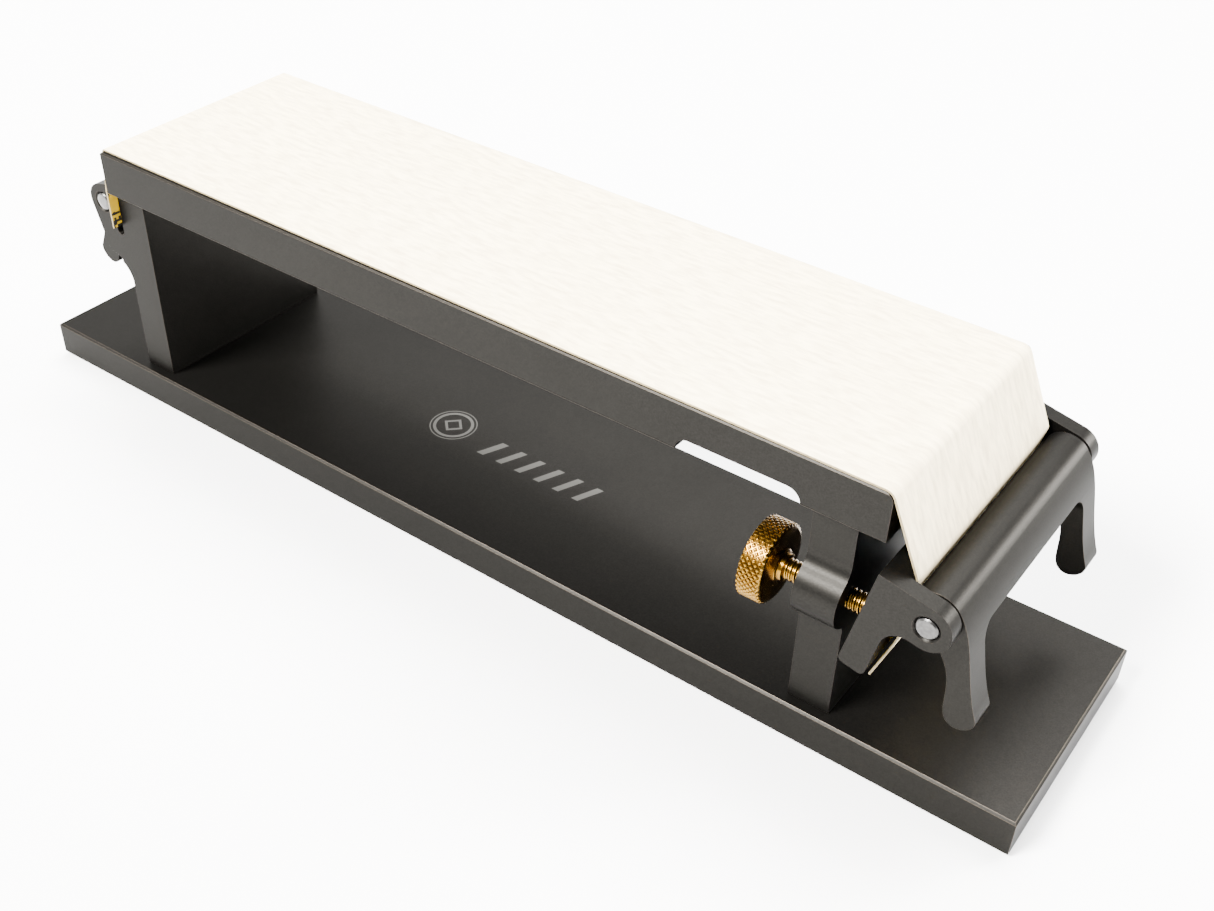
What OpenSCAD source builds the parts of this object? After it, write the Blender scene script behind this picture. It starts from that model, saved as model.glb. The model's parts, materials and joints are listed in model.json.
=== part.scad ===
// Bench stand that stretches a honing strip over a flat beam.
// Millimetres, +Z up. The origin is on the bench, under the middle of the base plate.
// +X points to the tension end, where the thumb screws push the clamp yoke outwards.

/* [Base] */
// Length of the base plate
base_l = 300; // [270:1:330]
// Width of the base plate
base_w = 62; // [58:1:70]
// Thickness of the base plate
base_t = 10; // [8:0.5:14]
// Chamfer on the machined outer edges
edge_chamfer = 0.5; // [0.2:0.1:1]
// Diameter of a rubber foot
foot_d = 12; // [8:1:16]
// Height that a foot stands out of the base plate
foot_proud = 0.5; // [0.3:0.1:1.5]

/* [Legs] */
// Thickness of both leg plates
leg_t = 10; // [9:0.5:12]
// Width of both leg plates
leg_w = 56; // [54:1:58]
// Height of both leg plates
leg_h = 54.8; // [52:0.1:58]
// Outer face of the fixed leg, from the middle of the base
fixed_leg_x = 113.5; // [112.5:0.1:114]
// Outer face of the tension leg, from the middle of the base
tension_leg_x = 105.3; // [104:0.1:106]
// Radius of the threaded boss on the tension leg
boss_r = 7; // [6:0.1:8]

/* [Beam] */
// Width of the beam that carries the strip
beam_w = 63.6; // [62:0.1:64]
// Thickness of the beam
beam_t = 11.6; // [10:0.1:13]
// Fixed end of the beam, from the middle of the base
beam_fixed_x = 111.6; // [110:0.1:112.5]
// Tension end of the beam, from the middle of the base
beam_tension_x = 112.6; // [111:0.1:113]
// Radius of the beam's edge at the tension end, where the strip turns down
beam_corner_r = 2; // [1:0.1:3]
// Radius of the beam's edge at the fixed end
beam_edge_r = 0.5; // [0.3:0.1:1]
// Depth of the finger relief under the beam
relief_depth = 3.3; // [2:0.1:4]

/* [Strip] */
// Width of the honing strip
strip_w = 63; // [60:0.5:63.5]
// Thickness of the honing strip
strip_t = 0.6; // [0.4:0.05:0.65]

/* [Clamps] */
// Diameter of the lever pins
pin_d = 5; // [4:0.1:5]
// Radius of the cam barrel on both levers
barrel_r = 5.15; // [5:0.05:5.2]
// Lean of the tension jaw from upright, in degrees
jaw_lean = 12; // [8:0.5:14]
// Thickness of the tension jaw
jaw_t = 6; // [5.8:0.1:6.2]
// Thickness of the tension yoke's ears
ear_t = 4; // [3:0.1:5]

/* [Thumb screws] */
// Diameter of the thread
screw_d = 4.8; // [4:0.1:5]
// Distance of each screw's axis from the middle of the stand
screw_y = 26.2; // [25:0.1:27]
// Diameter of the knurled head
knob_d = 18.3; // [14:0.1:20]
// Thickness of the knurled head
knob_t = 5.7; // [4:0.1:6]

/* [Hidden] */
$fn = 64;

GUNMETAL = [0.27, 0.26, 0.25];
STEEL = [0.80, 0.80, 0.80];
BRASS = [0.80, 0.58, 0.25];
CREAM = [0.95, 0.93, 0.88];
RUBBER = [0.08, 0.08, 0.08];

// Small shared clearances
running = 0.05;
contact = 0.05;
over = 1;

// Heights
base_z = foot_proud;
leg_z = base_z + base_t;
beam_z = leg_z + leg_h;
beam_top = beam_z + beam_t;

// Feet and their pockets
foot_x = base_l / 2 - 11;
foot_y = base_w / 2 - 11;
foot_seat = 1.5;

// Fasteners: [thread diameter, head diameter, length]
leg_screw = [5, 10, 20];
beam_screw = [4, 8, 20];
fastener_y = 15;
head_recess = 0.3;
tapped_depth = 13;
fixed_mid = -fixed_leg_x + leg_t / 2;
tension_mid = tension_leg_x - leg_t / 2;
fixed_beam_hole = -beam_fixed_x + 4.6;

// Hollows that blend the boss into the leg's edge, above and below it
boss_blend_top = 5;
boss_blend_low = 2;

// Fixed clamp: ears on the fixed leg
fixed_pin_x = -fixed_leg_x - 6.5;
fixed_pin_z = beam_z - 6.5;
fixed_ear_r = 5;
fixed_ear_in = 22.4;
slot_w = 2.6;
slot_x = -fixed_leg_x - 1.2;
slot_floor = fixed_pin_z - 8;

// Tension clamp: pin axis, and the jaw's faces measured from it across the lean
tension_pin_x = 125.2;
tension_pin_z = beam_z - 11.2;
ear_r = 5.26;
jaw_out = -6.5;
jaw_in = jaw_out - jaw_t;
jaw_drop = 20.9;
jaw_corner_r = 1.5;
ear_in = beam_w / 2 + 0.6;
ear_out = ear_in + ear_t;

// Levers
cam_throw = 0.55;
lever_gap = 0.6;
shoulder_a = 40;
tab_w = 6.8;
window_top = -3.6;
fixed_lever_turn = 5.5;

// Thumb screws along X
screw_z = beam_z - 22.1;
knob_x = 83.2;
hub_d = 7.6;
hub_t = 1;
seat_x = 111;
journal_d = 3.2;
groove_d = 2.4;
ring_t = 0.6;
bore_floor_x = 113.6;
counterbore_d = 6.6;
tip_x = 115;

// A 2D outline in X and Z, made solid from y0 to y1
module along_y(y0, y1) {
    translate([0, y1, 0]) rotate([90, 0, 0]) linear_extrude(y1 - y0) children();
}

// A 2D outline in Y and Z, made solid from x0 to x1
module along_x(x0, x1) {
    translate([x0, 0, 0]) rotate([90, 0, 90]) linear_extrude(x1 - x0) children();
}

module rod_x(d, x0, x1) {
    translate([x0, 0, 0]) rotate([0, 90, 0]) cylinder(d = d, h = x1 - x0);
}

module rod_y(d, y0, y1) {
    translate([0, y1, 0]) rotate([90, 0, 0]) cylinder(d = d, h = y1 - y0);
}

// Hole for a lever pin through ears half_w from the middle, chamfered at their outer faces
module pin_hole(half_w) {
    r = pin_d / 2 + running;
    c = 0.45;
    rod_y(2 * r, -half_w - over, half_w + over);
    both_sides() translate([0, -half_w - over, 0]) rotate([-90, 0, 0])
        cylinder(r1 = r + c + over, r2 = r, h = c + over);
}

// The same child at the front and at the back
module both_sides() {
    children();
    mirror([0, 1, 0]) children();
}

// Rectangle with its lower left corner at p and all corners chamfered by c
module chamfered(p, size, c) {
    a = p[0];
    b = p[1];
    w = size[0];
    h = size[1];
    polygon([[a + c, b], [a + w - c, b], [a + w, b + c], [a + w, b + h - c],
             [a + w - c, b + h], [a + c, b + h], [a, b + h - c], [a, b + c]]);
}

// Points of an arc from angle a0 to a1
function arc(c, r, a0, a1, steps) =
    [for (i = [0:steps]) let (a = a0 + (a1 - a0) * i / steps) [c[0] + r * cos(a), c[1] + r * sin(a)]];

// Points of a cubic curve, without its last point
function curve(p, steps) =
    [for (i = [0:steps - 1]) let (t = i / steps, s = 1 - t)
        s * s * s * p[0] + 3 * s * s * t * p[1] + 3 * s * t * t * p[2] + t * t * t * p[3]];

function unit(v) = v / norm(v);

// Outward normal of a path at its point i, where the path runs clockwise over the top
function path_normal(p, i) =
    let (a = p[max(i - 1, 0)], b = p[min(i + 1, len(p) - 1)], d = unit(b - a)) [-d[1], d[0]];

// Band of thickness t on the outer side of a path
module band(p, t) {
    outer = [for (i = [len(p) - 1:-1:0]) p[i] + t * path_normal(p, i)];
    polygon(concat(p, outer));
}

// Angle of the normal where a strip leaves circle 1 straight for circle 2, falling to the right
function leave_angle(c1, r1, c2, r2) =
    let (d = c2 - c1) atan2(d[1], d[0]) + acos((r1 - r2) / norm(d));

// A point p given across and up the leaning jaw, from the tension pin
function jaw_point(p) =
    [tension_pin_x + p[0] * cos(jaw_lean) + p[1] * sin(jaw_lean),
     tension_pin_z - p[0] * sin(jaw_lean) + p[1] * cos(jaw_lean)];

module at_jaw() {
    translate([tension_pin_x, 0, tension_pin_z]) rotate([0, jaw_lean, 0]) children();
}

// ---- Base ----

module foot_places() {
    for (x = [-foot_x, foot_x], y = [-foot_y, foot_y]) translate([x, y, 0]) children();
}

module fastener_places(x) {
    for (y = [-fastener_y, fastener_y]) translate([x, y, 0]) children();
}

// Clearance hole and countersink, head down, with the head's face at z = 0
module countersink(s, depth) {
    translate([0, 0, -over]) cylinder(d = s[0] + 0.4, h = depth + over);
    translate([0, 0, -over]) cylinder(d = s[1] + 0.2, h = head_recess + over);
    translate([0, 0, head_recess]) cylinder(d1 = s[1] + 0.2, d2 = s[0] + 0.4, h = (s[1] - s[0]) / 2);
}

// Countersunk screw, head down, sunk below z = 0
module countersunk_screw(s) {
    head_h = (s[1] - s[0]) / 2;
    translate([0, 0, head_recess]) difference() {
        union() {
            cylinder(d1 = s[1], d2 = s[0], h = head_h);
            translate([0, 0, head_h]) cylinder(d = s[0], h = s[2] - head_h);
        }
        translate([0, 0, -over]) cylinder(d = s[0] * 0.6, h = over + head_h * 0.7, $fn = 6);
    }
}

module base_plate() {
    color(GUNMETAL) difference() {
        intersection() {
            along_x(-base_l / 2, base_l / 2)
                chamfered([-base_w / 2, base_z], [base_w, base_t], edge_chamfer);
            along_y(-base_w / 2, base_w / 2)
                chamfered([-base_l / 2, base_z], [base_l, base_t], edge_chamfer);
        }
        foot_places() translate([0, 0, base_z - over]) cylinder(d = foot_d + 0.2, h = foot_seat + over);
        for (x = [fixed_mid, tension_mid])
            fastener_places(x) translate([0, 0, base_z]) countersink(leg_screw, base_t + over);
    }
}

module rubber_feet() {
    color(RUBBER) foot_places() cylinder(d = foot_d, h = foot_proud + foot_seat);
}

module fixed_leg_screws() {
    color(STEEL) fastener_places(fixed_mid) translate([0, 0, base_z]) countersunk_screw(leg_screw);
}

module tension_leg_screws() {
    color(STEEL) fastener_places(tension_mid) translate([0, 0, base_z]) countersunk_screw(leg_screw);
}

module fixed_beam_screws() {
    color(STEEL) fastener_places(fixed_beam_hole)
        translate([0, 0, beam_top]) mirror([0, 0, 1]) countersunk_screw(beam_screw);
}

module tension_beam_screws() {
    color(STEEL) fastener_places(tension_mid)
        translate([0, 0, beam_top]) mirror([0, 0, 1]) countersunk_screw(beam_screw);
}

// ---- Legs ----

// Tapped holes in the two ends of a leg, for the screws from below and from above
module leg_tapping(x_low, x_high) {
    fastener_places(x_low) translate([0, 0, leg_z - over])
        cylinder(d = leg_screw[0] + 0.1, h = tapped_depth + over);
    fastener_places(x_high) translate([0, 0, beam_z - tapped_depth])
        cylinder(d = beam_screw[0] + 0.1, h = tapped_depth + over);
}

// Outline of a fixed ear: the lobe round the pin, falling to the leg with a hollow under it
module fixed_ear_outline() {
    lobe = [fixed_pin_x, fixed_pin_z];
    elbow = [-fixed_leg_x - 5.4, fixed_pin_z - 12.5];
    elbow_r = 2.5;
    hollow_r = 6.5;
    floor_z = elbow[1] - elbow_r - 1;
    brow = [-fixed_leg_x - 2, beam_z - 0.1];
    d = elbow - lobe;
    a_top = leave_angle(lobe, fixed_ear_r, brow, 0);
    a_side = atan2(d[1], d[0]) - acos((fixed_ear_r - elbow_r) / norm(d));
    normal = [cos(a_side), sin(a_side)];
    translate(lobe) circle(fixed_ear_r);
    translate(elbow) circle(elbow_r);
    polygon([lobe + fixed_ear_r * [cos(a_top), sin(a_top)], brow, [-fixed_leg_x + 0.5, brow[1]],
             [-fixed_leg_x + 0.5, floor_z], [-fixed_leg_x - 3, floor_z], elbow - elbow_r * [-0.2, 0.98],
             elbow, elbow + elbow_r * normal, lobe + fixed_ear_r * normal, lobe]);
    difference() {
        translate([-fixed_leg_x - 3, floor_z - hollow_r]) square([3.5, hollow_r + 0.1]);
        translate([-fixed_leg_x - hollow_r - 0.02, floor_z - hollow_r - 0.02]) circle(hollow_r + 0.04);
    }
}

// Slot that lets the edge of the strip pass between an ear and the leg
module ear_slot() {
    r = slot_w / 2;
    translate([slot_x, slot_floor + r]) circle(r);
    translate([slot_x - r, slot_floor + r]) square([slot_w, leg_h]);
}

module fixed_leg() {
    color(GUNMETAL) difference() {
        union() {
            along_x(-fixed_leg_x, -fixed_leg_x + leg_t)
                chamfered([-leg_w / 2, leg_z], [leg_w, leg_h], 0.2);
            both_sides() along_y(fixed_ear_in, leg_w / 2) fixed_ear_outline();
        }
        both_sides() along_y(fixed_ear_in - over, leg_w / 2 + over) ear_slot();
        translate([fixed_pin_x, 0, fixed_pin_z]) pin_hole(leg_w / 2);
        leg_tapping(fixed_mid, fixed_beam_hole);
    }
}

// Hollow of radius r that blends a boss into the leg's edge, on the boss's upper side
// (it bites a hair into the edge, so that the two join)
module boss_blend(r) {
    bite = 0.01;
    y = leg_w / 2 + r - bite;
    rise = sqrt(pow(boss_r + r - bite, 2) - pow(y - screw_y, 2));
    touch_y = screw_y + boss_r / (boss_r + r) * (y - screw_y);
    difference() {
        translate([screw_y - 1, -1]) square([touch_y - screw_y + 1, rise + 1]);
        translate([y, rise]) circle(r);
    }
}

module tension_leg_outline() {
    chamfered([-leg_w / 2, leg_z], [leg_w, leg_h], 0.2);
    for (side = [-1, 1], up = [-1, 1]) translate([0, screw_z]) scale([side, up]) {
        translate([screw_y, 0]) circle(boss_r);
        boss_blend(up > 0 ? boss_blend_top : boss_blend_low);
    }
}

module tension_leg() {
    color(GUNMETAL) difference() {
        along_x(tension_leg_x - leg_t, tension_leg_x) tension_leg_outline();
        both_sides() translate([0, screw_y, screw_z])
            rod_x(screw_d + 2 * running, tension_leg_x - leg_t - over, tension_leg_x + over);
        leg_tapping(tension_mid, tension_mid);
    }
}

// ---- Beam ----

// What a rounded upper corner takes off; side is 1 for a right corner and -1 for a left one
module corner_waste(x, r, side) {
    difference() {
        translate([x - r, beam_top - r]) square([2 * r, 2 * r]);
        translate([x - side * r, beam_top - r]) circle(r);
        translate([x - side * 2 * r - r, beam_top - 2 * r]) square([2 * r, 4 * r]);
    }
}

module beam_outline() {
    relief_x0 = 64.5;
    relief_l = 29.5;
    difference() {
        translate([-beam_fixed_x, beam_z]) square([beam_fixed_x + beam_tension_x, beam_t]);
        corner_waste(-beam_fixed_x, beam_edge_r, -1);
        corner_waste(beam_tension_x, beam_corner_r, 1);
        translate([relief_x0 + relief_depth, beam_z - over])
            square([relief_l - 2 * relief_depth, relief_depth + over]);
        for (x = [relief_x0 + relief_depth, relief_x0 + relief_l - relief_depth])
            translate([x, beam_z]) circle(relief_depth);
    }
}

module beam() {
    color(GUNMETAL) difference() {
        intersection() {
            along_y(-beam_w / 2, beam_w / 2) beam_outline();
            along_x(-beam_fixed_x - over, beam_tension_x + over)
                chamfered([-beam_w / 2, beam_z], [beam_w, beam_t], 0.3);
        }
        for (x = [fixed_beam_hole, tension_mid])
            fastener_places(x) translate([0, 0, beam_top]) mirror([0, 0, 1])
                countersink(beam_screw, beam_t + over);
    }
}

// ---- Strip ----

// Circles that the strip turns on: the beam's two ends, the fixed leg's top and the jaw's top
edge_turn_r = beam_edge_r + contact;
turn_r = beam_corner_r + contact;
leg_turn_r = 0.5 + contact;
jaw_turn_r = jaw_corner_r + contact;
fixed_turn = [beam_fixed_x - beam_edge_r, beam_top - beam_edge_r];
tension_turn = [beam_tension_x - beam_corner_r, beam_top - beam_corner_r];
leg_turn = [fixed_leg_x - 0.5, beam_z - 0.5];
jaw_turn = jaw_point([jaw_out - jaw_corner_r, ear_r - jaw_corner_r]);
fixed_leave = leave_angle(fixed_turn, edge_turn_r, leg_turn, leg_turn_r);
tension_leave = leave_angle(tension_turn, turn_r, jaw_turn, jaw_turn_r);
fixed_tail_z = fixed_pin_z - 4.7;

function turned_left(p) = [for (q = p) [-q[0], q[1]]];

strip_path = concat(
    [[-fixed_leg_x - contact, fixed_tail_z]],
    turned_left(arc(leg_turn, leg_turn_r, 0, fixed_leave, 2)),
    turned_left(arc(fixed_turn, edge_turn_r, fixed_leave, 90, 6)),
    arc(tension_turn, turn_r, 90, tension_leave, 8));
leave_normal = [cos(tension_leave), sin(tension_leave)];
span_path = [tension_turn + turn_r * leave_normal, jaw_turn + jaw_turn_r * leave_normal];

// Back of the tail at t from 0 at the cam to 1 at its end, given across and up the jaw from the
// tension pin: it lies on the jaw at the cam and bows off it lower down
tail_l = 24.2;
tail_bow = 3.8;
function tail_back(t) =
    [jaw_out + contact + tail_bow * (1 - t) * t * t / (t * t + 0.05), -0.5 - tail_l * t];
tail_path = concat(
    arc(jaw_turn, jaw_turn_r, tension_leave, -jaw_lean, 6),
    [for (i = [0:16]) jaw_point(tail_back(i / 16))]);

// The strip from the fixed clamp, over the beam, to the beam's tension end
module strip() {
    color(CREAM) along_y(-strip_w / 2, strip_w / 2) band(strip_path, strip_t);
}

// The free stretch from the beam to the jaw, whose length changes as the yoke moves
module strip_span() {
    color(CREAM) along_y(-strip_w / 2, strip_w / 2) band(span_path, strip_t);
}

// The strip round the jaw and down between it and the cam
module strip_tail() {
    color(CREAM) along_y(-strip_w / 2, strip_w / 2) band(tail_path, strip_t);
}

// ---- Tension yoke ----

module jaw_outline() {
    foot_r = 1.3;
    difference() {
        translate([jaw_in, -jaw_drop]) square([jaw_t, jaw_drop + ear_r]);
        for (x = [jaw_in, jaw_out]) difference() {
            translate([x - foot_r, -jaw_drop - foot_r]) square(2 * foot_r);
            translate([x == jaw_in ? x + foot_r : x - foot_r, -jaw_drop + foot_r]) circle(foot_r);
            translate([x == jaw_in ? x + foot_r : x - 3 * foot_r, -jaw_drop - 2 * foot_r])
                square([2 * foot_r, 4 * foot_r]);
        }
    }
}

// Outline of an ear: the jaw's end, an arm to the pin's lobe, and the hollow under the arm
module tension_ear_outline() {
    hollow_r = 4.8;
    jaw_outline();
    translate([jaw_in, -ear_r]) square([-jaw_in, 2 * ear_r]);
    circle(ear_r);
    difference() {
        translate([jaw_out, -ear_r - hollow_r]) square(hollow_r);
        translate([jaw_out + hollow_r, -ear_r - hollow_r]) circle(hollow_r);
    }
}

// The jaw's upper outer edge, rounded where the strip turns over it
module jaw_top_round() {
    difference() {
        translate([jaw_out - jaw_corner_r, ear_r - jaw_corner_r]) square(2 * jaw_corner_r);
        translate([jaw_out - jaw_corner_r, ear_r - jaw_corner_r]) circle(jaw_corner_r);
    }
}

module yoke() {
    color(GUNMETAL) difference() {
        at_jaw() {
            along_y(-ear_in, ear_in) difference() {
                jaw_outline();
                jaw_top_round();
            }
            both_sides() along_y(ear_in, ear_out) tension_ear_outline();
        }
        at_jaw() pin_hole(ear_out);
        both_sides() translate([0, screw_y, screw_z]) {
            rod_x(journal_d + 2 * running, seat_x - 6, tip_x + 6);
            rod_x(7, seat_x - 6, seat_x);
            rod_x(counterbore_d, bore_floor_x, tip_x + 6);
        }
    }
}

// Pin with chamfered ends, centred on Y
module pin(length) {
    c = 0.4;
    r = pin_d / 2;
    rotate([90, 0, 0]) rotate_extrude()
        polygon([[0, -length / 2], [r - c, -length / 2], [r, -length / 2 + c],
                 [r, length / 2 - c], [r - c, length / 2], [0, length / 2]]);
}

module fixed_pin() {
    color(STEEL) translate([fixed_pin_x, 0, fixed_pin_z]) pin(leg_w + 0.2);
}

module tension_pin() {
    color(STEEL) translate([tension_pin_x, 0, tension_pin_z]) pin(2 * ear_out + 0.2);
}

// ---- Levers ----

// Side outline of a lever at rest, from its pin: it leaves the barrel level with its surface, and
// the tab hangs down and flares to a round tip
shoulder = barrel_r * [cos(shoulder_a), sin(shoulder_a)];
level = [sin(shoulder_a), -cos(shoulder_a)];
lever_points = concat(
    curve([shoulder, shoulder + 7.2 * level, [7.9, -12], [11.9, -21.6]], 14),
    curve([[11.9, -21.6], [12.5, -23.8], [9.2, -26.4], [6.9, -25.3]], 8),
    curve([[6.9, -25.3], [4.7, -24.2], [5.0, -21.4], [4.8, -17.5]], 8),
    curve([[4.8, -17.5], [4.5, -11.2], [2.6, -8.4], [-1.5, -4.6]], 8),
    [[-1.5, -4.6], [0, 0]]);

// A lever half as wide as half_w, with its cam nose at angle nose from +X
module lever(half_w, nose) {
    r = 4;
    inner = half_w - tab_w;
    difference() {
        union() {
            difference() {
                along_y(-half_w, half_w) polygon(lever_points);
                along_x(-2, 20) {
                    translate([-inner, window_top - 40]) square([2 * inner, 40 - r]);
                    translate([-inner + r, window_top - 2 * r]) square([2 * (inner - r), 2 * r]);
                    for (s = [-1, 1]) translate([s * (inner - r), window_top - r]) circle(r);
                }
            }
            rod_y(2 * barrel_r, -half_w, half_w);
            translate([cam_throw * cos(nose), 0, cam_throw * sin(nose)])
                rod_y(2 * barrel_r, -half_w, half_w);
        }
        rod_y(pin_d + 2 * running, -half_w - over, half_w + over);
    }
}

module tension_lever() {
    color(GUNMETAL) translate([tension_pin_x, 0, tension_pin_z])
        lever(ear_in - lever_gap, 180 - jaw_lean);
}

module fixed_lever() {
    color(GUNMETAL) translate([fixed_pin_x, 0, fixed_pin_z]) mirror([1, 0, 0])
        rotate([0, -fixed_lever_turn, 0]) lever(fixed_ear_in - lever_gap, 180 - fixed_lever_turn);
}

// ---- Thumb screws ----

// Knurled head, hub, thread, and a thin journal that carries the yoke
module thumb_screw() {
    c = 0.6;
    r = knob_d / 2;
    hub_x = knob_x + knob_t;
    groove_x = bore_floor_x + 0.15;
    profile = [[0, knob_x], [r - c, knob_x], [r, knob_x + c], [r, hub_x - c], [r - c, hub_x],
               [hub_d / 2, hub_x], [hub_d / 2, hub_x + hub_t], [screw_d / 2, hub_x + hub_t],
               [screw_d / 2, seat_x - contact], [journal_d / 2, seat_x - contact],
               [journal_d / 2, groove_x], [groove_d / 2, groove_x],
               [groove_d / 2, groove_x + ring_t], [journal_d / 2, groove_x + ring_t],
               [journal_d / 2, tip_x], [0, tip_x]];
    rotate([0, 90, 0]) rotate_extrude() polygon(profile);
}

module retaining_ring() {
    x = bore_floor_x + 0.15;
    difference() {
        rod_x(5.6, x, x + ring_t);
        rod_x(groove_d, x - over, x + over);
        translate([x - over, -0.8, -4]) cube([3, 1.6, 4]);
    }
}

module front_thumb_screw() {
    color(BRASS) translate([0, -screw_y, screw_z]) thumb_screw();
}

module back_thumb_screw() {
    color(BRASS) translate([0, screw_y, screw_z]) thumb_screw();
}

module front_retaining_ring() {
    color(STEEL) translate([0, -screw_y, screw_z]) retaining_ring();
}

module back_retaining_ring() {
    color(STEEL) translate([0, screw_y, screw_z]) retaining_ring();
}

base_plate();
rubber_feet();
fixed_leg();
tension_leg();
beam();
fixed_leg_screws();
tension_leg_screws();
fixed_beam_screws();
tension_beam_screws();
fixed_pin();
fixed_lever();
strip();
strip_span();
yoke();
tension_pin();
strip_tail();
tension_lever();
front_thumb_screw();
back_thumb_screw();
front_retaining_ring();
back_retaining_ring();
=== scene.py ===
import json
import math

import bpy
from mathutils import Matrix, Vector


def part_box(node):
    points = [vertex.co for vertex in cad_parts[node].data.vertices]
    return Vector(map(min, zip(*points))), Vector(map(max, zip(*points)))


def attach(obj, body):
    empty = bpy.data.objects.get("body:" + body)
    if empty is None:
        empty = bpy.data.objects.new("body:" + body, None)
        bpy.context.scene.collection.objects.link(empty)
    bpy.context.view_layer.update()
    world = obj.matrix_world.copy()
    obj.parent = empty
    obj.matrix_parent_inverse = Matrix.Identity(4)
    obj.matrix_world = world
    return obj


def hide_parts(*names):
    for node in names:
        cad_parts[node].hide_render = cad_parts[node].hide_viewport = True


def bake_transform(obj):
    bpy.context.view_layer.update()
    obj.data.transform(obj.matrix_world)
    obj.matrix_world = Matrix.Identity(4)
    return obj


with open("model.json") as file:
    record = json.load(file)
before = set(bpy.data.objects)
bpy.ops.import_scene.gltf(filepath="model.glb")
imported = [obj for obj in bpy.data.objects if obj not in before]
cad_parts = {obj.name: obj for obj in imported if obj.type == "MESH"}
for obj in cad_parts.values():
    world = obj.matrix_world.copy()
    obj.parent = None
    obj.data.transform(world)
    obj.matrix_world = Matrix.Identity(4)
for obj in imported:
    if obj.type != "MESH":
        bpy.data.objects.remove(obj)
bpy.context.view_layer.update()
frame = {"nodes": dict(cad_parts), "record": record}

MM = 0.001


def box_mm(node):
    """Lowest and highest corners of a CAD node, in millimetres, without single-precision noise."""
    lo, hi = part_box(node)
    return [round(v / MM, 4) for v in lo], [round(v / MM, 4) for v in hi]


def joint_mm(name):
    """Where a joint's axis is, in millimetres."""
    joint = next(j for j in frame["record"]["behaviour"]["joints"] if j["name"] == name)
    return [v / MM for v in joint["pos_m"]]


# ---------------------------------------------------------------- camera

# Direction from the stand to the camera, and the camera's turn about its own axis, in degrees
CAMERA_AZIMUTH, CAMERA_HEIGHT, CAMERA_ROLL = 35.087, 37.577, 1.722
# Where the camera is, its lens and its sensor, in millimetres
CAMERA_AT = (188.796, -232.114, 244.167)
CAMERA_LENS, SENSOR_WIDTH = 43.24, 36.0


def make_camera():
    az, el, roll = (math.radians(v) for v in (CAMERA_AZIMUTH, CAMERA_HEIGHT, CAMERA_ROLL))
    back = Vector((math.sin(az) * math.cos(el), -math.cos(az) * math.cos(el), math.sin(el)))
    level = Vector((math.cos(az), math.sin(az), 0))
    upright = back.cross(level)
    right = level * math.cos(roll) + upright * math.sin(roll)
    up = upright * math.cos(roll) - level * math.sin(roll)
    cam = bpy.data.objects.new("camera", bpy.data.cameras.new("camera"))
    bpy.context.scene.collection.objects.link(cam)
    cam.data.lens, cam.data.sensor_width = CAMERA_LENS, SENSOR_WIDTH
    cam.data.clip_start, cam.data.clip_end = 0.01, 20
    turn = Matrix((right, up, back)).transposed().to_4x4()
    turn.translation = Vector(CAMERA_AT) * MM
    cam.matrix_world = turn
    bpy.context.scene.camera = cam


make_camera()

# ---------------------------------------------------------------- materials

def material(name, **values):
    m = bpy.data.materials.new(name)
    m.use_nodes = True
    nt = m.node_tree
    shader = next(n for n in nt.nodes if n.type == "BSDF_PRINCIPLED")
    for key, v in values.items():
        shader.inputs[key.replace("_", " ")].default_value = v
    return m, nt, shader


def new(nt, kind, links=(), **settings):
    """A node with its plain settings, its input values (keys that start with in_) and its links."""
    n = nt.nodes.new("ShaderNode" + kind)
    for key, v in settings.items():
        if key.startswith("in_"):
            n.inputs[key[3:].replace("_", " ")].default_value = v
        else:
            setattr(n, key, v)
    for socket, source in dict(links).items():
        nt.links.new(source, n.inputs[socket])
    return n


def ramp(nt, source, stops):
    """A colour ramp over source. A stop is (position, colour or grey)."""
    n = new(nt, "ValToRGB", {"Fac": source})
    e = n.color_ramp.elements
    while len(e) < len(stops):
        e.new(0.5)
    for i, (at, v) in enumerate(stops):
        e[i].position = at
        e[i].color = (v, v, v, 1) if isinstance(v, (int, float)) else (*v, 1)
    return n.outputs["Color"]


def place(nt):
    """Place on the object, in metres."""
    where = new(nt, "TexCoord")
    return new(nt, "Mapping", {"Vector": where.outputs["Object"]}).outputs["Vector"]


def calc(nt, op, *values):
    """The result of a Math node on numbers and sockets."""
    n = new(nt, "Math", operation=op)
    for i, v in enumerate(values):
        if isinstance(v, (int, float)):
            n.inputs[i].default_value = v
        else:
            nt.links.new(v, n.inputs[i])
    return n.outputs[0]


def blend(nt, kind, a, b, factor=1.0):
    """Colour b laid over colour a by multiplying or mixing."""
    n = new(nt, "Mix", data_type="RGBA", blend_type=kind)
    for i, v in ((0, factor), (6, a), (7, b)):
        if isinstance(v, (int, float, tuple)):
            n.inputs[i].default_value = v
        else:
            nt.links.new(v, n.inputs[i])
    return n.outputs[2]


# Mark on the base plate, in millimetres from the stand's middle. A ring is (radius, half its width),
# and the diamond the same. The bars' row and their height are each (middle, half the size).
ROUNDEL_AT = (-26.3, 1.9)
RINGS = ((6.3, 0.16), (5.1, 0.42))
DIAMOND = (2.6, 0.5)
BARS_START, BARS_SLANT, BAR_PITCH, BAR_WIDTH = -12.2, 0.42, 6.2, 2.0
BARS_ROW, BARS_TALL = (16.5, 16.6), (0.2, 3.6)
MARK_ABOVE = 5.0


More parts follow.
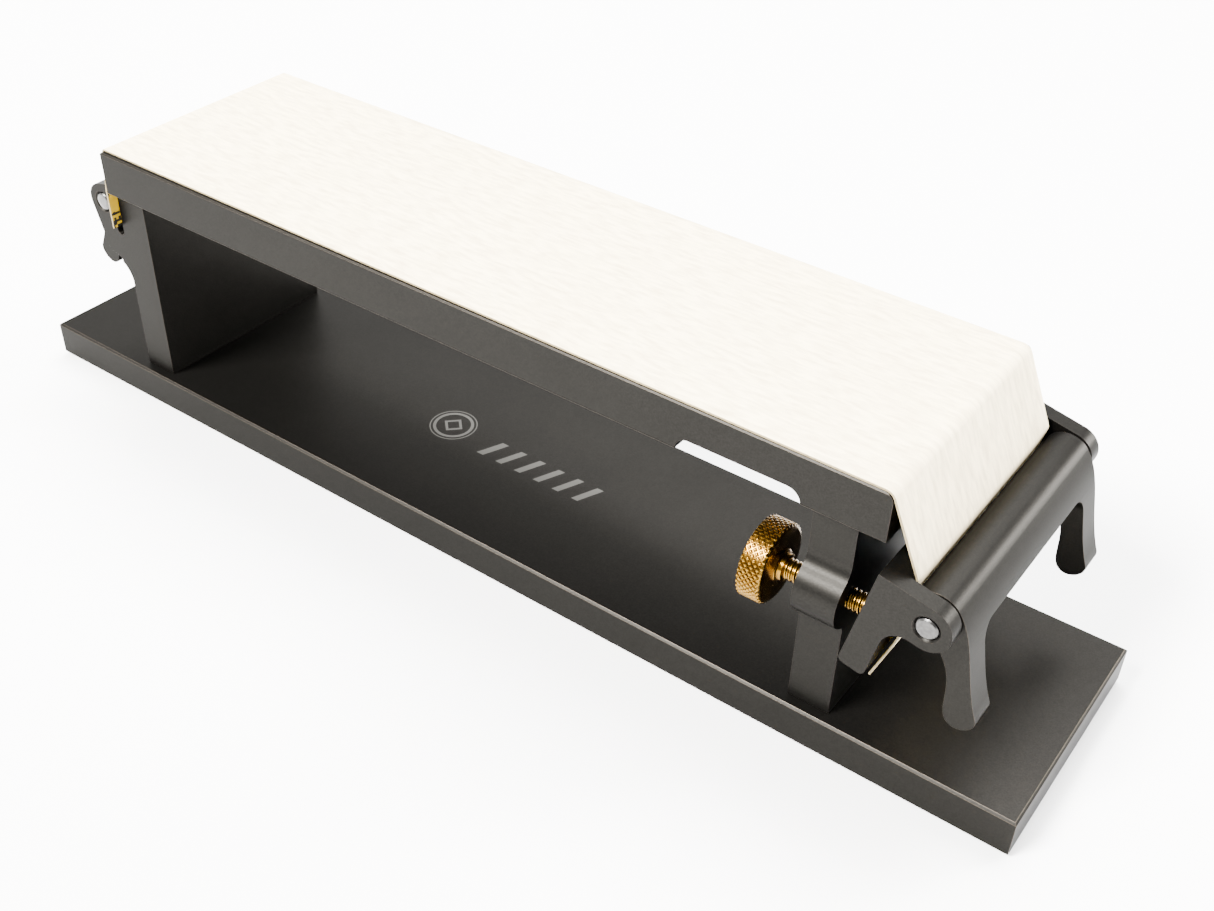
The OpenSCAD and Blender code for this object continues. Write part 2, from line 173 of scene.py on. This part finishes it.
def etched_mark(nt):
    """A plain roundel and a row of slanted bars on top of the base."""
    at = new(nt, "SeparateXYZ", {"Vector": new(nt, "TexCoord").outputs["Object"]})
    x = calc(nt, "MULTIPLY", at.outputs["X"], 1 / MM)
    y = calc(nt, "MULTIPLY", at.outputs["Y"], 1 / MM)
    dx, dy = calc(nt, "SUBTRACT", x, ROUNDEL_AT[0]), calc(nt, "SUBTRACT", y, ROUNDEL_AT[1])
    away = calc(nt, "SQRT", calc(nt, "ADD", calc(nt, "MULTIPLY", dx, dx), calc(nt, "MULTIPLY", dy, dy)))
    corner = calc(nt, "ADD", calc(nt, "ABSOLUTE", dx), calc(nt, "ABSOLUTE", dy))
    shapes = [calc(nt, "COMPARE", away, radius, half) for radius, half in RINGS]
    shapes.append(calc(nt, "COMPARE", corner, *DIAMOND))
    slid = calc(nt, "SUBTRACT", calc(nt, "SUBTRACT", x, BARS_START), calc(nt, "MULTIPLY", y, BARS_SLANT))
    bar = calc(nt, "LESS_THAN", calc(nt, "MODULO", slid, BAR_PITCH), BAR_WIDTH)
    row = calc(nt, "COMPARE", slid, *BARS_ROW)
    tall = calc(nt, "COMPARE", y, *BARS_TALL)
    shapes.append(calc(nt, "MULTIPLY", bar, calc(nt, "MULTIPLY", row, tall)))
    total = shapes[0]
    for other in shapes[1:]:
        total = calc(nt, "MAXIMUM", total, other)
    return calc(nt, "MULTIPLY", total, calc(nt, "GREATER_THAN", at.outputs["Z"], MARK_ABOVE * MM))


MARK_COLOUR = (0.050, 0.049, 0.045, 1)


def gunmetal(name, low, high, marked=False):
    """Dark anodised aluminium, bead blasted: warm grey, fine speckle, a little uneven."""
    m, nt, sh = material(name, Metallic=0.8, Specular_IOR_Level=0.08, Specular_Tint=(0.5, 0.5, 0.5, 1))
    at = place(nt)
    speck = new(nt, "TexNoise", {"Vector": at}, in_Scale=2600.0, in_Detail=3.0, in_Roughness=0.7)
    cloud = new(nt, "TexNoise", {"Vector": at}, in_Scale=38.0, in_Detail=4.0, in_Roughness=0.6)
    tone = ramp(nt, speck.outputs["Fac"], [(0.3, low), (0.72, high)])
    broad = ramp(nt, cloud.outputs["Fac"], [(0.3, 0.93), (0.7, 1.04)])
    colour = blend(nt, "MULTIPLY", tone, broad)
    if marked:
        colour = blend(nt, "MIX", colour, MARK_COLOUR, etched_mark(nt))
    nt.links.new(colour, sh.inputs["Base Color"])
    rough = new(nt, "MapRange", {"Value": cloud.outputs["Fac"]}, in_To_Min=0.35, in_To_Max=0.41)
    nt.links.new(rough.outputs["Result"], sh.inputs["Roughness"])
    bump = new(nt, "Bump", {"Height": speck.outputs["Fac"]}, in_Strength=0.12, in_Distance=0.00005)
    nt.links.new(bump.outputs["Normal"], sh.inputs["Normal"])
    return m


def turned_metal(name, low, high, scale, rough_low, rough_high):
    """Bare turned metal with fine marks."""
    m, nt, sh = material(name, Metallic=1.0)
    cloud = new(nt, "TexNoise", {"Vector": place(nt)}, in_Scale=scale, in_Detail=4.0)
    nt.links.new(ramp(nt, cloud.outputs["Fac"], [(0.3, low), (0.7, high)]), sh.inputs["Base Color"])
    rough = new(nt, "MapRange", {"Value": cloud.outputs["Fac"]}, in_To_Min=rough_low, in_To_Max=rough_high)
    nt.links.new(rough.outputs["Result"], sh.inputs["Roughness"])
    bump = new(nt, "Bump", {"Height": cloud.outputs["Fac"]}, in_Strength=0.15, in_Distance=0.00004)
    nt.links.new(bump.outputs["Normal"], sh.inputs["Normal"])
    return m


def rubber():
    """Matt black rubber."""
    m, nt, sh = material("rubber", Roughness=0.8)
    cloud = new(nt, "TexNoise", {"Vector": place(nt)}, in_Scale=600.0, in_Detail=3.0)
    tone = ramp(nt, cloud.outputs["Fac"], [(0.3, (0.018, 0.018, 0.018)), (0.7, (0.035, 0.034, 0.033))])
    nt.links.new(tone, sh.inputs["Base Color"])
    return m


def along_strip(nt, scale):
    """Place on the strip laid flat, in metres along it and across it."""
    flat = new(nt, "TexCoord").outputs["UV"]
    return new(nt, "Mapping", {"Vector": flat}, in_Scale=scale).outputs["Vector"]


def strip_face():
    """Cream honing film with faint short streaks along its length."""
    m, nt, sh = material("strip_face", Roughness=0.72)
    streak = new(nt, "TexNoise", {"Vector": along_strip(nt, (1.0, 4.5, 1.0))}, in_Scale=170.0, in_Detail=4.0,
                 in_Roughness=0.55, in_Distortion=0.3)
    cloud = new(nt, "TexNoise", {"Vector": along_strip(nt, (1.0, 1.0, 1.0))}, in_Scale=30.0, in_Detail=3.0)
    tone = ramp(nt, streak.outputs["Fac"], [(0.32, (0.64, 0.53, 0.325)), (0.62, (0.90, 0.77, 0.50))])
    tint = ramp(nt, cloud.outputs["Fac"], [(0.35, (0.98, 0.975, 0.965)), (0.65, (1.0, 1.0, 1.0))])
    nt.links.new(blend(nt, "MULTIPLY", tone, tint), sh.inputs["Base Color"])
    bump = new(nt, "Bump", {"Height": streak.outputs["Fac"]}, in_Strength=0.3, in_Distance=0.00008)
    nt.links.new(bump.outputs["Normal"], sh.inputs["Normal"])
    return m


# Printed dashes on the strip's back: cells per millimetre, share left blank, block length and its inked part
DASH_CELLS, DASH_BLANK, BLOCK_L, BLOCK_INK = 1.4, 0.55, 9.0, 4.5


def strip_back():
    """Yellow backing with blocks of random black dashes printed on it."""
    m, nt, sh = material("strip_back", Roughness=0.6, Specular_IOR_Level=0.08)
    cloud = new(nt, "TexNoise", {"Vector": along_strip(nt, (1, 1, 1))}, in_Scale=300.0, in_Detail=3.0)
    tone = ramp(nt, cloud.outputs["Fac"], [(0.3, (0.24, 0.145, 0.0006)), (0.7, (0.30, 0.185, 0.0012))])
    at = new(nt, "SeparateXYZ", {"Vector": new(nt, "TexCoord").outputs["UV"]})
    u = calc(nt, "MULTIPLY", at.outputs["X"], 1 / MM)
    v = calc(nt, "ADD", calc(nt, "MULTIPLY", at.outputs["Y"], 1 / MM), 60.0)
    cell = new(nt, "CombineXYZ", {"X": calc(nt, "FLOOR", calc(nt, "MULTIPLY", u, DASH_CELLS)),
                                  "Y": calc(nt, "FLOOR", calc(nt, "MULTIPLY", v, DASH_CELLS))})
    chance = new(nt, "TexWhiteNoise", {"Vector": cell.outputs["Vector"]}, noise_dimensions="2D")
    ink = calc(nt, "MULTIPLY", calc(nt, "GREATER_THAN", chance.outputs["Value"], DASH_BLANK),
               calc(nt, "LESS_THAN", calc(nt, "MODULO", u, BLOCK_L), BLOCK_INK))
    nt.links.new(blend(nt, "MIX", tone, (0.004, 0.004, 0.003, 1), ink), sh.inputs["Base Color"])
    return m


def strip_edge():
    """Cut edge of the strip, tan, and darker than that as painted shade."""
    m, nt, sh = material("strip_edge", Roughness=0.8)
    grain = new(nt, "TexNoise", {"Vector": place(nt)}, in_Scale=900.0, in_Detail=3.0)
    tone = ramp(nt, grain.outputs["Fac"], [(0.3, (0.14, 0.108, 0.052)), (0.7, (0.22, 0.173, 0.088))])
    nt.links.new(tone, sh.inputs["Base Color"])
    return m


LOW, HIGH = (0.0060, 0.0057, 0.0051), (0.0108, 0.0102, 0.0091)
GUNMETAL = gunmetal("gunmetal", LOW, HIGH)
MARKED = gunmetal("gunmetal_marked", LOW, HIGH, marked=True)
# Lighter, warmer gunmetal for the rounded edges: a painted highlight along them
EDGE_HIGHLIGHT = gunmetal("gunmetal_edge_highlight", (0.026, 0.022, 0.017), (0.046, 0.038, 0.030))
BRASS = turned_metal("brass", (0.15, 0.079, 0.0095), (0.21, 0.117, 0.017), 260.0, 0.20, 0.30)
STEEL = turned_metal("steel", (0.042, 0.041, 0.040), (0.070, 0.069, 0.067), 1400.0, 0.24, 0.38)
RUBBER = rubber()
FACE, BACK, EDGE = strip_face(), strip_back(), strip_edge()

# ---------------------------------------------------------------- mesh helpers

def mesh_object(name, verts, faces, mats, sharp):
    """A smooth-shaded mesh given in millimetres, with edges sharper than so many degrees left sharp."""
    me = bpy.data.meshes.new(name)
    me.from_pydata([tuple(c * MM for c in v) for v in verts], [], faces)
    me.validate()
    for m in mats:
        me.materials.append(m)
    me.shade_smooth()
    me.set_sharp_from_angle(angle=math.radians(sharp))
    o = bpy.data.objects.new(name, me)
    bpy.context.scene.collection.objects.link(o)
    return o


def turned(rings, around, put):
    """A closed solid turned about an axis. A ring is (distance along the axis, radius), where the
    radius is a number or a function of the step round the axis. put makes a point of a distance
    along the axis and two coordinates across it."""
    verts = []
    for along, radius in rings:
        for k in range(around):
            r = radius(k) if callable(radius) else radius
            a = 2 * math.pi * k / around
            verts.append(put(along, r * math.cos(a), r * math.sin(a)))
    last = (len(rings) - 1) * around
    faces = [(i + around + k, i + around + (k + 1) % around, i + (k + 1) % around, i + k)
             for i in range(0, last, around) for k in range(around)]
    faces += [tuple(range(around)), tuple(reversed(range(last, last + around)))]
    return verts, faces


def joined(solids):
    """One list of vertices and one of faces from several solids."""
    verts, faces = [], []
    for v, f in solids:
        faces += [tuple(len(verts) + i for i in face) for face in f]
        verts += v
    return verts, faces


# ---------------------------------------------------------------- CAD nodes as they are

EDGE_ROUND = 0.25


def dress(node, mat, rounded=True):
    """Material on a CAD node, and fine rounding on its edges in a lighter material, a painted highlight."""
    o = frame["nodes"][node]
    o.data.materials.clear()
    o.data.materials.append(mat)
    if rounded:
        o.data.materials.append(EDGE_HIGHLIGHT)
        w = o.modifiers.new("weld", "WELD")
        w.merge_threshold = 1e-6
        d = o.modifiers.new("flat", "DECIMATE")
        d.decimate_type = "DISSOLVE"
        d.angle_limit = math.radians(0.6)
        b = o.modifiers.new("edges", "BEVEL")
        b.width = EDGE_ROUND * MM
        b.segments = 2
        b.limit_method = "ANGLE"
        b.angle_limit = math.radians(28)
        # the rounded edges take the lighter second material, a painted highlight
        b.material = 1
        n = o.modifiers.new("normals", "WEIGHTED_NORMAL")
        n.keep_sharp = False


dress("base_plate", MARKED)
for node in ("fixed_leg", "tension_leg", "beam", "yoke", "fixed_lever", "tension_lever"):
    dress(node, GUNMETAL)
for node in ("fixed_leg_screws", "tension_leg_screws", "fixed_beam_screws",
             "tension_beam_screws", "front_retaining_ring", "back_retaining_ring"):
    dress(node, STEEL, rounded=False)
dress("rubber_feet", RUBBER, rounded=False)

# ---------------------------------------------------------------- thumb screws

# Knurled head: its thickness and radius, how deep the diamonds are cut, how many go round, the steps
# of mesh in one diamond, and a diamond's length along the axis
KNOB_T, KNOB_R, KNURL_DEPTH = 5.7, 9.15, 0.48
KNURL_STARTS, KNURL_STEPS, KNURL_L = 38, 10, 1.4
# Thread: pitch, outer radius, depth and mesh steps in one turn along the axis
THREAD_PITCH, THREAD_R, THREAD_DEPTH, THREAD_STEPS = 1.0583, 2.4, 0.30, 14
ROUND_STEPS = 64


def knurl(j):
    """Radius round the head at step j along it, where two sets of slanted grooves cross."""
    def radius(k):
        one, other = ((k + j) % KNURL_STEPS) / KNURL_STEPS, ((k - j) % KNURL_STEPS) / KNURL_STEPS
        groove = max(abs(one - 0.5), abs(other - 0.5)) * 2
        return KNOB_R - KNURL_DEPTH * max(0.0, (groove - 0.5) / 0.5)
    return radius


def knob(x0, put):
    """Head from x0 on: a dished outer face, a rounded rim, the knurl and a rim again."""
    x1 = x0 + KNOB_T
    step = KNURL_L / KNURL_STEPS
    rings = [(x0 + 0.25, 0.9), (x0 + 0.25, 5.2), (x0, 5.6), (x0, 8.05), (x0 + 0.06, 8.35), (x0 + 0.3, 8.72)]
    rings += [(x0 + 0.42 + j * step, knurl(j)) for j in range(int((KNOB_T - 0.9) / step) + 1)]
    rings += [(x1 - 0.3, 8.72), (x1 - 0.06, 8.35), (x1, 8.05), (x1, 3.9)]
    return turned(rings, KNURL_STARTS * KNURL_STEPS, put)


def collar(x1, put):
    """Collar behind the head, short enough to clear the leg when the yoke is furthest out."""
    rings = [(-0.2, 3.8), (0.4, 3.8), (0.6, 3.6), (0.72, 3.2), (1.6, 3.1), (1.8, 2.8), (1.8, 1.2)]
    return turned([(x1 + x, r) for x, r in rings], ROUND_STEPS, put)


def thread_radius(x):
    """Radius round the thread at x along it: one groove that climbs a pitch in each turn."""
    def radius(k):
        phase = (x / THREAD_PITCH - k / ROUND_STEPS) % 1.0
        cut_in = min(1.0, max(0.0, (abs(phase - 0.5) * 2 - 0.15) / 0.8))
        return THREAD_R - THREAD_DEPTH * (0.5 - 0.5 * math.cos(math.pi * cut_in))
    return radius


def thread(x0, x1, put):
    """Threaded length from x0 to x1, between two plain ends."""
    step = THREAD_PITCH / THREAD_STEPS
    places = [x0 + 0.01 + i * step for i in range(int((x1 - x0) / step))]
    rings = [(x0 - 0.1, 1.9), (x0, 1.9), *[(x, thread_radius(x)) for x in places]]
    rings += [(x1 - 0.03, 1.9), (x1, 1.6)]
    return turned(rings, ROUND_STEPS, put)


def journal(x1, put):
    """Thin end that carries the yoke, with the groove for its ring, ending at x1."""
    rings = [(-4.1, 1.55), (-1.25, 1.55), (-1.25, 1.2), (-0.65, 1.2), (-0.65, 1.55), (-0.2, 1.55), (0, 1.35)]
    return turned([(x1 + x, r) for x, r in rings], 40, put)


def thumb_screw(name, node, body, joint):
    axis_y, axis_z = joint_mm(joint)[1:]
    x0, x1 = box_mm(node)[0][0], box_mm(node)[1][0]
    back = x0 + KNOB_T

    def put(x, across, up):
        return x, axis_y + across, axis_z + up

    parts = [knob(x0, put), collar(back, put), thread(back + 1.7, x1 - 4.05, put), journal(x1, put)]
    o = mesh_object(name, *joined(parts), [BRASS], sharp=35)
    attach(o, body)
    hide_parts(node)


thumb_screw("front_thumb_screw_turned", "front_thumb_screw", "front_screw", "front_screw_turn")
thumb_screw("back_thumb_screw_turned", "back_thumb_screw", "back_screw", "back_screw_turn")

# ---------------------------------------------------------------- pins

PIN_R, PIN_END_R = 2.5, 2.36


def clamp_pin(name, node, body, joint):
    """Steel pin with a shouldered, chamfered end at each side, so that a dark ring shows round it."""
    axis_x, _, axis_z = joint_mm(joint)
    half = box_mm(node)[1][1]
    end = [(half - 1.2, PIN_R), (half - 1.18, PIN_END_R), (half - 0.35, PIN_END_R),
           (half - 0.04, 2.05), (half, 1.98), (half, 1.1)]
    rings = [(-y, r) for y, r in reversed(end)] + end

    def put(y, up, across):
        return axis_x + across, y, axis_z + up

    o = mesh_object(name, *turned(rings, 72, put), [STEEL], sharp=30)
    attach(o, body)
    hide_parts(node)


clamp_pin("tension_pin_turned", "tension_pin", "carriage", "tension_lever_turn")
clamp_pin("fixed_pin_turned", "fixed_pin", "frame", "fixed_lever_turn")

# ---------------------------------------------------------------- strip

# Gap under the strip, its thickness and width, and the chamfer along the edges of its section
STRIP_GAP, STRIP_T, STRIP_W, STRIP_CHAMFER = 0.05, 0.5, 62.5, 0.12
# Outer face of the left leg, radius of the edges there, and how far below the pin the strip ends
LEG_FACE, LEFT_EDGE_R, LEFT_END_DROP = 113.5, 0.5, 4.7
RIGHT_EDGE_R = 2.0
# The leaning jaw, measured from the right pin: its outer face, its top and the radius between them
JAW_LEAN = math.radians(12)
JAW_FACE, JAW_TOP, JAW_EDGE_R = -6.5, 5.26, 1.5
# The strip's right end bows off the jaw below the cam
TAIL_BOW, TAIL_START, TAIL_L = 3.8, 0.5, 24.2
# The strip lies a little askew: its shift across the beam at the middle and its slant per millimetre
SKEW_SHIFT, SKEW_SLANT = 0.15, 0.45 / 113


def arc(c, r, a0, a1, steps):
    """Points of an arc from angle a0 to a1, in degrees."""
    angles = [math.radians(a0 + (a1 - a0) * i / steps) for i in range(steps + 1)]
    return [(c[0] + r * math.cos(a), c[1] + r * math.sin(a)) for a in angles]


def leave(c1, r1, c2, r2):
    """Angle of the normal where a strip leaves circle 1 straight for circle 2, in degrees."""
    dx, dz = c2[0] - c1[0], c2[1] - c1[1]
    return math.degrees(math.atan2(dz, dx) + math.acos((r1 - r2) / math.hypot(dx, dz)))


def fill(points, gap):
    """Adds points along a path so that none are further apart than gap."""
    out = [points[0]]
    for p in points[1:]:
        q = out[-1]
        n = max(1, math.ceil(math.dist(p, q) / gap))
        out += [(q[0] + (p[0] - q[0]) * i / n, q[1] + (p[1] - q[1]) * i / n) for i in range(1, n + 1)]
    return out


def jaw_point(across, up):
    """A point given across and up the leaning jaw, from the right pin."""
    pin_x, _, pin_z = joint_mm("tension_lever_turn")
    return (pin_x + across * math.cos(JAW_LEAN) + up * math.sin(JAW_LEAN),
            pin_z - across * math.sin(JAW_LEAN) + up * math.cos(JAW_LEAN))


def tail_point(t):
    """Back of the strip at t from 0 at the cam to 1 at its right end."""
    bow = TAIL_BOW * (1 - t) * t * t / (t * t + 0.05)
    return jaw_point(JAW_FACE + STRIP_GAP + bow, -TAIL_START - TAIL_L * t)


def strip_path():
    """Back of the strip, from its end in the left clamp over the beam and the jaw to its right end."""
    (beam_x0, _, beam_low), (beam_x1, _, beam_top) = box_mm("beam")
    left_r, right_r, jaw_r = LEFT_EDGE_R + STRIP_GAP, RIGHT_EDGE_R + STRIP_GAP, JAW_EDGE_R + STRIP_GAP
    left_edge = (-beam_x0 - LEFT_EDGE_R, beam_top - LEFT_EDGE_R)
    left_leg = (LEG_FACE - LEFT_EDGE_R, beam_low - LEFT_EDGE_R)
    right_edge = (beam_x1 - RIGHT_EDGE_R, beam_top - RIGHT_EDGE_R)
    jaw = jaw_point(JAW_FACE - JAW_EDGE_R, JAW_TOP - JAW_EDGE_R)
    left_leave = leave(left_edge, left_r, left_leg, left_r)
    right_leave = leave(right_edge, right_r, jaw, jaw_r)
    left_side = arc(left_leg, left_r, 0, left_leave, 3) + arc(left_edge, left_r, left_leave, 90, 8)
    path = [(-LEG_FACE - STRIP_GAP, joint_mm("fixed_lever_turn")[2] - LEFT_END_DROP)]
    path += [(-x, z) for x, z in left_side]
    path += arc(right_edge, right_r, 90, right_leave, 10)
    path += arc(jaw, jaw_r, right_leave, -math.degrees(JAW_LEAN), 8)
    path += [tail_point(i / 16) for i in range(17)]
    return fill(path, 1.6)


def path_normals(path):
    normals = []
    for i in range(len(path)):
        a, b = path[max(i - 1, 0)], path[min(i + 1, len(path) - 1)]
        d = math.dist(a, b)
        normals.append((-(b[1] - a[1]) / d, (b[0] - a[0]) / d))
    return normals


def strip_section():
    """Points round the strip's section as (across, height), and the material of each side."""
    h, c = STRIP_W / 2, STRIP_CHAMFER
    across = [-h + c, *[-h + 3 + (STRIP_W - 6) * k / 18 for k in range(19)], h - c]
    ring = [(y, 0.0) for y in across] + [(h, c), (h, STRIP_T - c)]
    ring += [(y, STRIP_T) for y in reversed(across)] + [(-h, STRIP_T - c), (-h, c)]
    face, back, edge = range(3)
    wide = len(across) - 1
    return ring, [back] * wide + [edge] * 3 + [face] * wide + [edge] * 3


def strip():
    """The whole strip as one sheet, with its place laid flat as its UVs."""
    path = strip_path()
    ring, sides = strip_section()
    m, last = len(ring), len(path) - 1
    verts = []
    for (x, z), (nx, nz) in zip(path, path_normals(path)):
        skew = SKEW_SHIFT - SKEW_SLANT * x
        verts += [(x + nx * t, y + skew, z + nz * t) for y, t in ring]
    faces = [(i * m + k, (i + 1) * m + k, (i + 1) * m + (k + 1) % m, i * m + (k + 1) % m)
             for i in range(last) for k in range(m)]
    faces += [tuple(range(m)), tuple(reversed(range(last * m, (last + 1) * m)))]
    o = mesh_object("honing_strip", verts, faces, [FACE, BACK, EDGE], sharp=50)
    for i, p in enumerate(o.data.polygons):
        p.material_index = sides[i % m] if i < last * m else 2
    run = [0.0]
    for a, b in zip(path, path[1:]):
        run.append(run[-1] + math.dist(a, b))
    flat = o.data.uv_layers.new(name="flat")
    for loop in o.data.loops:
        i, k = divmod(loop.vertex_index, m)
        flat.data[loop.index].uv = (run[i] * MM, ring[k][0] * MM)
    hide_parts("strip", "strip_span", "strip_tail")
    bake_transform(o)


strip()

# ---------------------------------------------------------------- floor and light

FLOOR_SIZE = 6


def floor():
    m, _, sh = material("paper", Roughness=0.9)
    sh.inputs["Base Color"].default_value = (0.95, 0.95, 0.95, 1)
    bpy.ops.mesh.primitive_plane_add(size=FLOOR_SIZE, location=(0, 0, 0))
    plane = bpy.context.object
    plane.name = "floor"
    plane.data.materials.append(m)


def surroundings():
    """White light from all round, stronger from the left and from the back."""
    world = bpy.data.worlds.new("world")
    bpy.context.scene.world = world
    world.use_nodes = True
    nt = world.node_tree
    bg = nt.nodes["Background"]
    bg.inputs["Color"].default_value = (1, 1, 1, 1)
    toward = new(nt, "SeparateXYZ", {"Vector": new(nt, "TexCoord").outputs["Generated"]})
    left = new(nt, "MapRange", {"Value": toward.outputs["X"]}, in_From_Min=-0.8, in_From_Max=0.9,
               in_To_Min=2.3, in_To_Max=1.1)
    rear = new(nt, "MapRange", {"Value": toward.outputs["Y"]}, interpolation_type="SMOOTHSTEP",
               in_From_Min=-0.1, in_From_Max=0.8, in_To_Min=0.6, in_To_Max=2.6)
    nt.links.new(calc(nt, "MULTIPLY", left.outputs["Result"], rear.outputs["Result"]), bg.inputs["Strength"])


def soft_light(name, at, aim, size, power, tint=(1, 1, 1)):
    """A soft box at a place, in metres, turned towards aim."""
    data = bpy.data.lights.new(name, "AREA")
    data.shape, data.size, data.size_y = "RECTANGLE", size[0], size[1]
    data.energy = power
    data.color = tint
    o = bpy.data.objects.new(name, data)
    bpy.context.scene.collection.objects.link(o)
    o.location = at
    o.rotation_mode = "QUATERNION"
    o.rotation_quaternion = (Vector(aim) - Vector(at)).to_track_quat("-Z", "Y")


floor()
surroundings()
soft_light("key", (-0.95, -1.90, 2.30), (0, 0, 0.04), (1.0, 1.0), 900, (1.0, 0.985, 0.96))
soft_light("over", (-0.2, 0.6, 1.5), (0, 0, 0), (1.4, 1.0), 150)
soft_light("right", (1.20, 1.60, 0.60), (0.1, 0, 0.04), (0.6, 0.6), 160, (1.0, 0.98, 0.95))
